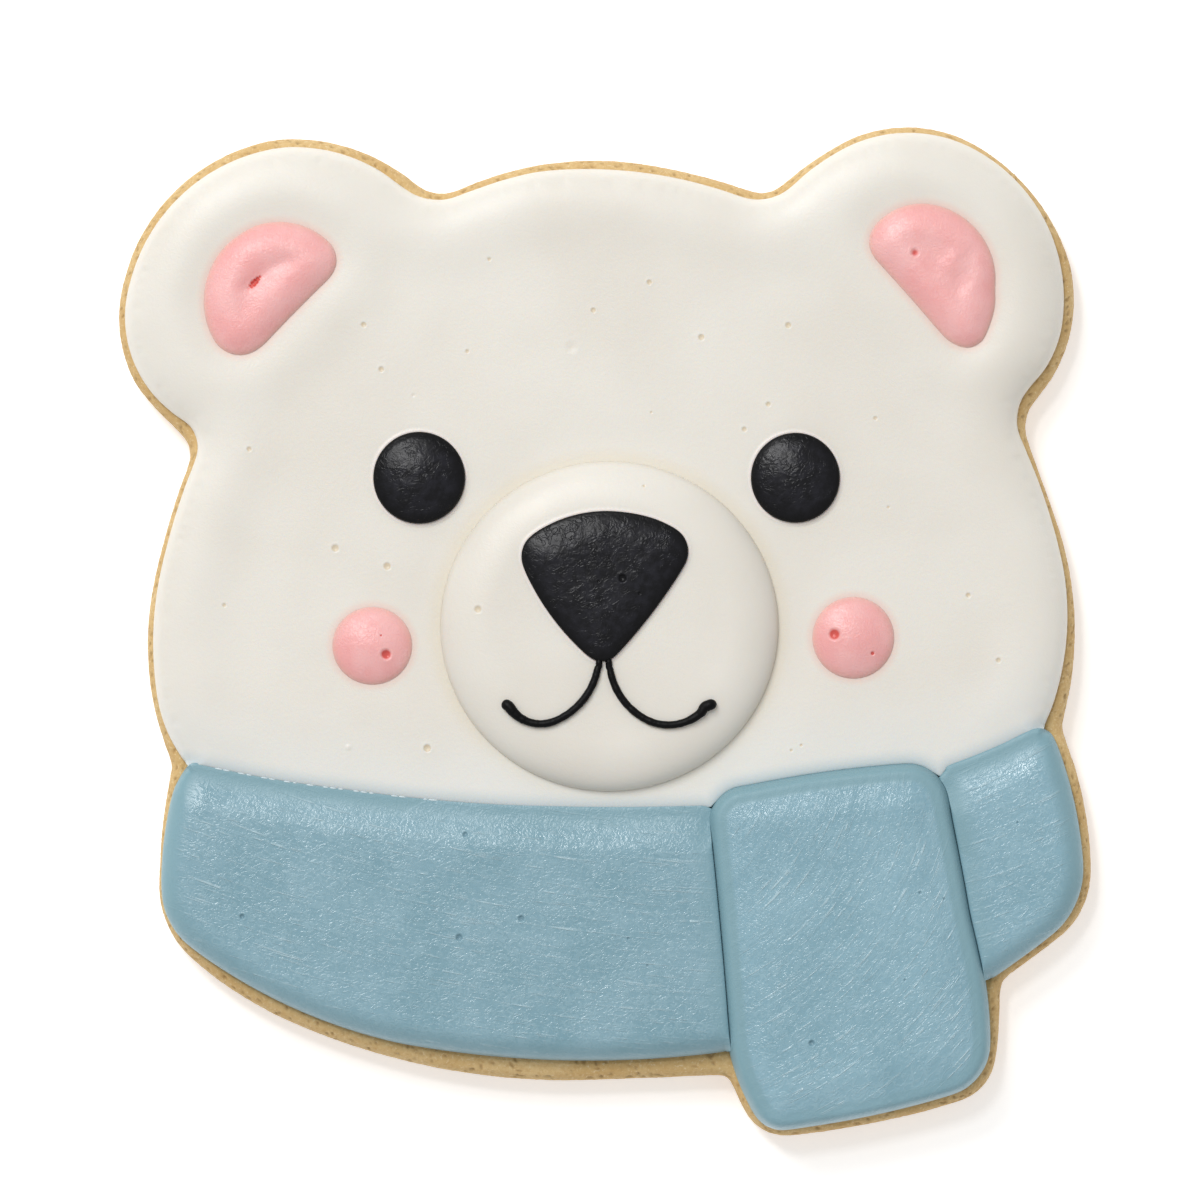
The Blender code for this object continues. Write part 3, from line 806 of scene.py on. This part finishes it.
def pink_icing():
    material, place = start_material("pink icing")
    tone = noise(place, 4.0).between(0.3, 0.7)
    colour = mix(tone, linear(244, 176, 174), linear(250, 191, 189))
    colour = layered(colour, (
        ("edge", 0.9, 0.0, 0.5, (243, 184, 172)),
        ("edge", 0.3, 0.0, 0.5, (247, 200, 188)),
        # Deep red in the pits: painted shade in the hollows.
        ("pit", 0.15, 0.6, 1.0, (222, 98, 90)),
    ))
    fine = noise(place, 0.3) + wrinkles(place, 0.5) * 0.35
    rough = noise(place, 1.6) * 0.2 + 0.23
    return finish_material(material, colour, bump(fine, 0.034), rough, 0.45, subsurface=0.35)


def blue_icing(name, circle, shades):
    """Brushed blue icing: its strokes run along circles with this centre and mean radius."""
    material, place = start_material(name)
    x, y, _ = parts_of(place)
    rim = attribute(place.tree, "rim").capped()
    inside = 1 - rim * 0.7
    tone = noise(place, 6.0, 3.0).between(0.3, 0.7)
    colour = mix(tone, *(linear(*shade) for shade in shades))
    radius, along = around_centre(x, y, *circle)
    long = strokes(radius, along, 0.34, 9.0)
    # Pale streaks along the strokes: painted highlights on their ridges, which the bump raises too.
    streak = long.between(0.57, 0.7) * noise(place, 0.8, 1.0).between(0.35, 0.6) * inside
    colour = mix(streak * 0.6, colour, linear(196, 220, 228))
    brushed = joined(place.tree, radius, along * 0.8, 0.0)
    # Pale flakes: painted highlights on the crusted ridges.
    flake = wrinkles(brushed, 0.62) * noise(place, 2.0).between(0.15, 0.5) * inside
    colour = mix(flake * 0.16, colour, linear(190, 216, 224))
    dark = noise(place, 0.5, 3.0, 0.7).between(0.5, 0.8) * inside
    colour = mix(dark * 0.15, colour, linear(118, 156, 170))
    colour = mix(rim * 0.85, colour, linear(129, 166, 176))
    # Darker in the pits: painted shade in the hollows.
    colour = layered(colour, [("pit", 0.1, 0.5, 0.5, (100, 134, 148))])
    height = flake * 0.22 + streak * 0.5 + long * 0.3 * inside
    height = height + noise(place, 0.45, 2.0, 0.6) * 0.3 * (1 - rim * 0.4)
    rough = noise(place, 1.6) * 0.24 + 0.1 + rim * 0.28
    return finish_material(material, colour, bump(height, 0.088), rough, subsurface=0.08)


def pale_icing():
    """Pale blue icing for the beads along the seam; its paleness is a painted highlight along the
    seam.
    """
    material, place = start_material("pale blue icing")
    colour = mix(noise(place, 0.5), linear(196, 216, 223), linear(222, 234, 238))
    return finish_material(material, colour, bump(noise(place, 0.2), 0.01), 0.4)


def biscuit():
    material, place = start_material("biscuit")
    _, _, z = parts_of(place)
    tone = noise(place, 5.0, 4.0, 0.6).between(0.3, 0.7)
    colour = mix(tone, linear(214, 179, 121), linear(225, 195, 141))
    speckle = noise(place, 0.4, 3.0, 0.7).between(0.4, 0.7)
    colour = mix(speckle * 0.5, colour, linear(199, 158, 98))
    pale = noise(place, 0.25, 2.0, 0.6).between(0.56, 0.72)
    colour = mix(pale * 0.5, colour, linear(242, 224, 186))
    # Browner towards the foot: partly the bake's own colour, partly painted shade low on the side.
    browned_and_shaded = 1 - z.between(0.0, 2.6)
    colour = mix(browned_and_shaded * 0.65, colour, linear(184, 132, 66))
    pore = attribute(place.tree, "pore").capped()
    # Dark pores: painted shade in the holes.
    colour = mix(pore * 0.6, colour, linear(136, 94, 50))
    normal = bump(noise(place, 0.3, 4.0, 0.7), 0.09)
    return finish_material(material, colour, normal, 0.7, 0.3, subsurface=0.05)


def floor_board():
    """A white table so evenly lit that shadows hardly show on it."""
    material, place = start_material("table")
    colour = mix(noise(place, 60.0), linear(248, 248, 248), linear(250, 250, 250))
    normal = bump(noise(place, 1.2, 3.0), 0.01)
    return finish_material(material, colour, normal, 0.8, 0.1, glow=FLOOR_GLOW)


# The biscuit


TOP_ROUND_WIDTH, TOP_ROUND_DROP = 1.3, 1.7
FOOT_ROUND = 0.6
# The side's fine rows of points run this far in under the icing and under the foot
SKIN_STEP, SKIN_REACH = 0.2, 1.9
TOP_SPACING, FOOT_SPACING = 1.6, 0.7


def biscuit_section():
    """(inset, height) down the biscuit's side, from under the icing to under the foot."""
    quarter = np.linspace(0, math.pi / 2, 12)
    top = np.column_stack([
        TOP_ROUND_WIDTH * (1 - np.sin(quarter)),
        COOKIE_TOP - TOP_ROUND_DROP * (1 - np.cos(quarter)),
    ])
    foot = np.column_stack([
        FOOT_ROUND * (1 - np.cos(quarter)),
        FOOT_ROUND * (1 - np.sin(quarter)),
    ])
    start, end = [[SKIN_REACH, COOKIE_TOP]], [[SKIN_REACH, 0.0]]
    return spaced(np.vstack([start, top, foot, end]), SKIN_STEP)


def add_biscuit_blank(outline):
    section = biscuit_section()
    loop, count = outline.loop, len(outline.loop)
    points = []
    for inset, z in section:
        points.append(np.column_stack([loop + inset * outline.inward, np.full(count, z)]))
    faces = []
    for level in range(len(section) - 1):
        high, low = level * count, (level + 1) * count
        for i in range(count):
            j = (i + 1) % count
            faces.append([high + i, low + i, low + j, high + j])
    last = (len(section) - 1) * count
    rim = Outline(loop + SKIN_REACH * outline.inward)
    shift = len(section) * count
    for height, first, spacing in ((COOKIE_TOP, 0, TOP_SPACING), (0.0, last, FOOT_SPACING)):
        flat, cap = triangulated(rim, [honeycomb(rim, spacing, 0.5 * spacing)])
        inner = flat[count:]
        points.append(np.column_stack([inner, np.full(len(inner), height)]))
        for face in cap:
            face = [first + i if i < count else shift + i - count for i in face]
            faces.append(face if height else face[::-1])
        shift += len(inner)
    return add_mesh("biscuit blank", np.vstack(points), [], faces)


# What each pool of icing is like


# A pit's tint is the strength of its painted shade, and it also shapes the pit's walls and lip
# Bubble pits as (x, y, radius, depth, tint), where a bump has a depth below 0
PITS = {
    "face_icing": [
        (-24.15, 30.65, 0.32, 0.12, 0.9), (-22.4, 26.2, 0.32, 0.12, 0.9),
        (-35.6, 18.2, 0.3, 0.12, 0.8), (-13.8, 28.0, 0.25, 0.09, 0.7),
        (-19.2, 23.6, 0.25, 0.05, 0.2), (-11.6, 37.2, 0.25, 0.09, 0.7),
        (-1.2, 32.1, 0.3, 0.12, 0.9), (4.4, 34.9, 0.3, 0.12, 0.9),
        (-3.4, 28.4, 0.75, 0.07, 0.15), (9.6, 29.4, 0.36, 0.12, 0.9),
        (18.3, 30.6, 0.35, 0.12, 0.9), (16.3, 22.7, 0.3, 0.12, 0.8),
        (13.9, 20.2, 0.3, 0.11, 0.8), (4.6, 21.9, 0.16, 0.06, 0.7),
        (27.0, 21.3, 0.26, 0.09, 0.7), (-27.0, 8.3, 0.42, 0.15, 0.9),
        (-21.8, 6.5, 0.42, 0.15, 0.9), (-38.1, 2.6, 0.26, 0.09, 0.7),
        (-25.7, -11.6, 0.42, -0.07, 0.0), (-17.8, -11.7, 0.42, 0.18, 1.0),
        (28.3, 12.4, 0.2, 0.07, 0.6), (36.3, 3.6, 0.3, 0.12, 0.8),
        (39.3, -2.9, 0.3, 0.12, 0.8), (18.6, -11.9, 0.2, 0.07, 0.7),
        (19.6, -11.4, 0.2, 0.07, 0.7),
    ],
    "muzzle": [(-12.7, 2.2, 0.42, 0.15, 0.8), (3.85, 14.5, 0.2, 0.07, 0.6)],
    "nose": [
        (1.7, 5.3, 0.45, 0.25, 1.0), (-0.7, 5.0, 0.16, 0.1, 1.0), (3.4, 3.8, 0.2, 0.12, 1.0),
    ],
    "cheek_left": [(-21.9, -2.3, 0.6, 0.35, 0.9), (-22.4, -0.4, 0.16, 0.1, 0.7)],
    "cheek_right": [(22.9, -0.3, 0.65, 0.35, 0.9), (26.7, -2.2, 0.26, 0.15, 0.8)],
    "inner_ear_left": [
        (-35.6, 34.25, 0.24, 0.14, 0.3), (-35.38, 34.45, 0.34, 0.26, 0.7),
        (-35.15, 34.7, 0.38, 0.35, 1.0), (-34.92, 34.95, 0.36, 0.35, 1.0),
        (-34.7, 35.2, 0.28, 0.26, 0.9), (-34.5, 35.4, 0.2, 0.16, 0.6),
    ],
    "inner_ear_right": [(30.9, 37.8, 0.5, 0.24, 0.6), (34.7, 36.7, 1.7, -0.22, 0.0)],
    "scarf_left": [
        (-14.0, -20.3, 0.3, 0.2, 0.9), (-36.3, -28.5, 0.3, 0.2, 0.8),
        (-14.6, -30.6, 0.4, 0.25, 0.9), (-8.4, -28.7, 0.36, 0.22, 0.9),
        (2.3, -30.7, 0.16, 0.1, 0.8), (4.2, -33.4, 0.16, 0.1, 0.8),
    ],
    "scarf_tail": [
        (20.6, -41.1, 0.35, 0.22, 0.9), (31.4, -26.1, 0.2, 0.12, 0.8),
        (33.8, -26.7, 0.16, 0.1, 0.8), (29.9, -34.8, 0.16, 0.1, 0.8),
    ],
    "scarf_right": [(41.2, -19.1, 0.14, 0.1, 0.8)],
}

WHITE = {"Lip": 0.2, "Unevenness": 0.035, "Lump size": 8.0}
FACE = {
    **WHITE, "Thickness": 2.4, "Roll": 2.6, "Seam dip": 0.28, "Seam roll": 1.1,
    "Rim ridge": 0.3, "Rim crest": 4.2, "Rim width": 2.8,
    "Ear ridge": 0.3, "Ear crest": 2.6, "Ear width": 2.6,
    "Moat": 0.12, "Moat crest": 1.5, "Moat width": 2.5, "Collar": 0.08, "Smoothing": 14,
}
MUZZLE = {
    **WHITE, "Lip": 0.0, "Level top": True, "Level": 10.9, "Thickness": 2.5, "Roll": 5.0,
    "Collar": 0.08,
}
BAND = {
    "Lip": 0.25, "Thickness": 3.0, "Roll": 2.3, "Seam dip": 0.12, "Seam roll": 0.5,
    "Seam slope": 0.78, "Seam ledge": 0.8, "Seam reach": 4.6, "Tail dip": 0.28, "Tail roll": 0.8,
    "Unevenness": 0.04, "Lump size": 4.0,
    "Stroke depth": 0.06, "Stroke width": 0.55, "Stroke length": 6.0, "Smoothing": 14,
    "Rim colour from": 0.5, "Rim colour to": 2.8,
}
SHORT_BAND = {**BAND, "Seam dip": 0.25, "Seam slope": 0.55}
TAIL = {
    **BAND, "Thickness": 4.2, "Roll": 1.4, "Side share": 0.5, "Side roll": 0.7,
    "Bevel share": 0.2, "Bevel width": 2.0, "Bevel power": 1.25, "Smoothing": 3,
    "Rim colour from": 1.6, "Rim colour to": 2.15,
    "Seam dip": 0.0, "Seam slope": 0.45, "Seam ledge": 0.5, "Seam reach": 4.8,
    "Stroke depth": 0.12, "Stroke width": 0.9, "Stroke length": 14.0,
}
DOME = {"Roll": 0.9, "Bevel power": 2.0}
BLACK = {**DOME, "Lip": 0.25, "Bevel share": 0.68, "Unevenness": 0.05}
NOSE = {**BLACK, "Thickness": 1.1, "Bevel width": 3.6, "Lump size": 1.2}
EYE = {**BLACK, "Thickness": 1.5, "Bevel width": 4.5, "Lump size": 1.0}
CHEEK = {
    **DOME, "Lip": -0.04, "Thickness": 1.35, "Bevel share": 0.82, "Bevel width": 4.0,
    "Unevenness": 0.04, "Lump size": 2.0,
}
EAR = {
    "Lip": -0.04, "Thickness": 1.0, "Roll": 1.6, "Bevel share": 0.6, "Bevel width": 3.2,
    "Bevel power": 2.0, "Unevenness": 0.05, "Lump size": 3.0,
    "Rim ridge": 0.2, "Rim crest": 2.3, "Rim width": 1.6,
    "Groove depth": 0.25, "Groove width": 0.6, "Smoothing": 12,
}
LINE = {"Radius": 0.37, "Sunk share": 0.3, "End swelling": 0.5, "End length": 2.4, "Wobble": 0.35}
BEADS = {
    "Level": 8.16, "Spacing": 0.75, "Share kept": 0.55,
    "Length": 0.34, "Width": 0.09, "Height": 0.12,
}
# Beads show left of the first x and right of the second, on runs with more than so many points, and
# stop this many points before a run's ends
BEADED_X = (-16.0, 34.0)
BEADED_LEAST, BEADED_TRIM = 12, 4
SKIN = {
    "Wave height": 0.08, "Wave size": 4.0, "Grain height": 0.15, "Grain size": 0.5,
    "Pore depth": 0.25, "Pore spacing": 0.75, "Pore radius": 0.2, "Seed": 3.0,
}
# The circles that the scarf's strokes follow: centre x and y, and mean radius
STROKES = {
    "scarf_left": (20.0, 150.0, 177.0), "scarf_right": (15.0, 40.0, 63.0),
    "scarf_tail": (0.0, -10.0, 32.0),
}
BLUES = ((134, 172, 186), (145, 182, 196))
DEEPER_BLUES = ((128, 165, 178), (139, 174, 187))
# Creases pressed into the pink icing
EAR_CREASES = {
    "inner_ear_left": [(-35.9, 34.4), (-34.6, 35.4), (-33.0, 36.5), (-31.8, 37.0)],
    "inner_ear_right": [(36.5, 37.8), (36.2, 36.4), (35.4, 34.4)],
}


def declare(piece, node):
    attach(piece, "root")
    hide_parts(node)


def pour(node, outline, spacing, settings, guides, seed, material, carried=()):
    """One pool of icing, on its seat, in place of its solid."""
    pits = PITS.get(node, [])
    blank = add_blank(node + " blank", outline, spacing, [pit[:3] for pit in pits], carried)
    settings = {**settings, **guides, "Grid": spacing, "Seed": seed * SEED_STEP, "Material": material}
    if pits:
        _, _, radii, depths, tints = zip(*pits)
        values = {"radius": radii, "depth": depths, "tint": tints}
        settings["Pits"] = add_guide(node + " pits", [np.array([pit[:2]]) for pit in pits], values)
    piece = made_by(POOL, blank, node + "_iced", settings)
    declare(piece, node)
    return piece


def around(name, *outlines):
    return add_guide(name, [closed(outline.loop) for outline in outlines])


def centre_line(node):
    """The middle of a piped line's outline, from the nose's tip to its lower end."""
    loop = spaced(closed(smooth_loop(outline_of(node), 0.1)), 0.1)[:-1]
    apart = np.hypot(*(loop[:, None] - loop[None]).transpose(2, 0, 1))
    first, last = sorted(np.unravel_index(apart.argmax(), apart.shape))
    one, other = loop[first:last + 1], np.vstack([loop[last:], loop[:first + 1]])[::-1]
    share = np.linspace(0, 1, 60)
    sides = []
    for side in (one, other):
        length = lengths_along(side)
        at = share * length[-1]
        sides.append(np.column_stack([np.interp(at, length, side[:, i]) for i in (0, 1)]))
    line = (sides[0] + sides[1]) / 2
    line = line if abs(line[0, 0]) < abs(line[-1, 0]) else line[::-1]
    line = line[2:-2]
    return np.vstack([line[0] + (0.0, NOSE_GAP), line])


SIDES = ("left", "right")
# Steps along the outlines and between the grids' points
SMALL, FINE, BASE_STEP, FACE_STEP, BROAD = 0.15, 0.17, 0.25, 0.3, 0.34
SEED_STEP, LINE_SEED_STEP = 7.3, 1.7
# A mouth line starts this far above its outline's middle, up against the nose
NOSE_GAP = 0.75
POOL, PIPED, BEAD, BAKED = pool_tree(), line_tree(), bead_tree(), biscuit_tree()
white, pink = white_icing(), pink_icing()
black = black_icing("black icing", 1.0, 1.6, (33, 33, 39), 0.24)
piped = black_icing("piped black icing", 0.6, 3.0, (14, 14, 16), 0.18)

base = add_biscuit_blank(drawn("cookie", BASE_STEP))
base = made_by(BAKED, base, "biscuit_baked", {**SKIN, "Material": biscuit()})
declare(base, "cookie")

tail = drawn("scarf_tail", FINE)
bands = [drawn("scarf_" + side, FINE, [tail]) for side in SIDES]
face = drawn("face_icing", FACE_STEP, [tail, *bands])
muzzle, nose = drawn("muzzle", BASE_STEP), drawn("nose", SMALL)
eyes, cheeks, ears = (
    [drawn(f"{name}_{side}", SMALL) for side in SIDES] for name in ("eye", "cheek", "inner_ear")
)
on_biscuit = {"Seat": base, "Least seat": COOKIE_TOP, "Rest gap": REST_GAP}

tail_edge = around("tail edge", tail)
scarf = (
    ("scarf_tail", tail, TAIL, BLUES),
    ("scarf_left", bands[0], BAND, DEEPER_BLUES),
    ("scarf_right", bands[1], SHORT_BAND, BLUES),
)
for seed, (node, outline, settings, shades) in enumerate(scarf, 1):
    guides = {"Free edge": tail_edge, "Seam": tail_edge}
    if node != "scarf_tail":
        free = stretches(outline, [tail, face], False)
        guides = {
            "Free edge": add_guide(node + " free edge", free),
            "Seam": add_guide(node + " seam", stretches(outline, [face], True)),
            "Tail edge": add_guide(node + " tail edge", stretches(outline, [tail], True)),
        }
    guides.update(zip(STROKE_CIRCLE, STROKES[node]))
    blue = blue_icing("blue icing " + node, STROKES[node], shades)
    pour(node, outline, FINE, {**settings, **on_biscuit}, guides, seed, blue)

guides = {
    "Free edge": add_guide("face free edge", stretches(face, [tail, *bands], False)),
    "Seam": add_guide("face seam", stretches(face, [tail, *bands], True)),
    "Inner ears": around("inner ears", *ears),
    "Pink edges": around("pink edges", *ears, *cheeks),
    "Disc edge": around("muzzle edge", muzzle),
    "Trim edges": around("eye edges", *eyes),
}
carried = [muzzle, *eyes, *cheeks, *ears]
settings = {**FACE, **on_biscuit}
face_piece = pour("face_icing", face, BROAD, settings, guides, 4, white, carried)
on_face = {"Seat": face_piece, "Rest gap": -SUNK}
guides = {"Free edge": around("muzzle free edge", muzzle), "Trim edges": around("nose edge", nose)}
settings = {**MUZZLE, **on_face}
muzzle_piece = pour("muzzle", muzzle, FACE_STEP, settings, guides, 5, white, [nose])
guides = {"Free edge": around("nose free edge", nose)}
settings = {**NOSE, "Seat": muzzle_piece, "Rest gap": -SUNK}
pour("nose", nose, SMALL, settings, guides, 6, black)
drops = (
    ("eye", eyes, EYE, black, "black_icing"),
    ("cheek", cheeks, CHEEK, pink, "pink_icing"),
    ("inner_ear", ears, EAR, pink, "pink_icing"),
)
for kind, (name, outlines, settings, material, slot) in enumerate(drops):
    for seed, (side, outline) in enumerate(zip(SIDES, outlines), 7 + 2 * kind):
        node = f"{name}_{side}"
        guides = {"Free edge": around(node + " edge", outline)}
        if node in EAR_CREASES:
            crease = spaced(np.array(EAR_CREASES[node]), 0.2)
            guides["Groove"] = add_guide(node + " crease", [crease])
        pour(node, outline, SMALL, {**settings, **on_face}, guides, seed, material)

for seed, side in enumerate(SIDES, 13):
    path = add_guide(f"mouth {side} path", [centre_line("mouth_" + side)])
    facts = {"Carrier": muzzle_piece, "Material": piped, "Seed": seed * LINE_SEED_STEP}
    line = made_by(PIPED, path, f"mouth_{side}_piped", {**LINE, **facts})
    declare(line, "mouth_" + side)

left, right = BEADED_X
beaded = []
for run in stretches(face, bands, True):
    run = run[(run[:, 0] < left) | (run[:, 0] > right)]
    if len(run) > BEADED_LEAST:
        beaded.append(run[BEADED_TRIM:-BEADED_TRIM])
path = add_guide("seam path", beaded)
# Pale beads along the seam between white and blue: their colour paints the highlights along the seam.
beads = made_by(BEAD, path, "seam_beads", {**BEADS, "Material": pale_icing(), "Seed": 5})
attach(beads, "root")

for obj in [o for o in bpy.data.objects if o.name in GUIDES]:
    bpy.data.objects.remove(obj)


# Floor, light and camera


FLOOR_SIZE, FLOOR_GLOW = 1600.0, 0.42
SENSOR, LENS = 36.0, 269.3
# The camera looks straight down at this point, level with the biscuit's top. In metres, like the
# distances from it to the camera and the lights
AIM = (-0.00053, 0.00313, 0.006)
CAMERA_HEIGHT, LIGHT_DISTANCE = 0.9, 0.9
# Each light's azimuth and its tilt from straight above in degrees, its size in metres, its power
LIGHTS = {"key": (122.0, 39.0, 0.34, 3.92), "top": (120.0, 20.0, 0.1, 1.3)}
SURROUND = 0.45


def add_floor():
    corners = np.array([(-0.5, -0.5), (0.5, -0.5), (0.5, 0.5), (-0.5, 0.5)]) * FLOOR_SIZE
    table = add_mesh("table", corners, [], [[0, 1, 2, 3]])
    table.data.materials.append(floor_board())


def add_light(name, azimuth, tilt, size, power):
    light = bpy.data.lights.new(name, "AREA")
    light.shape, light.size, light.energy = "SQUARE", size, power
    lamp = add_object(name, light)
    tilt, azimuth = math.radians(tilt), math.radians(azimuth)
    away = Vector((
        math.sin(tilt) * math.cos(azimuth), math.sin(tilt) * math.sin(azimuth), math.cos(tilt),
    ))
    lamp.location = Vector(AIM) + LIGHT_DISTANCE * away
    lamp.rotation_euler = away.to_track_quat("Z", "Y").to_euler()


def add_camera():
    camera = bpy.data.cameras.new("camera")
    camera.sensor_width, camera.lens = SENSOR, LENS
    camera.clip_start, camera.clip_end = 0.01, 10.0
    seen = add_object("camera", camera)
    seen.location = Vector(AIM) + Vector((0, 0, CAMERA_HEIGHT))
    bpy.context.scene.camera = seen


add_floor()
for name, facts in LIGHTS.items():
    add_light(name, *facts)
add_camera()
world = bpy.data.worlds.new("studio")
world.use_nodes = True
fill(world.node_tree.nodes["Background"], {"Color": (1.0, 1.0, 1.0, 1.0), "Strength": SURROUND})
bpy.context.scene.world = world
bpy.context.scene.view_settings.view_transform = "Standard"
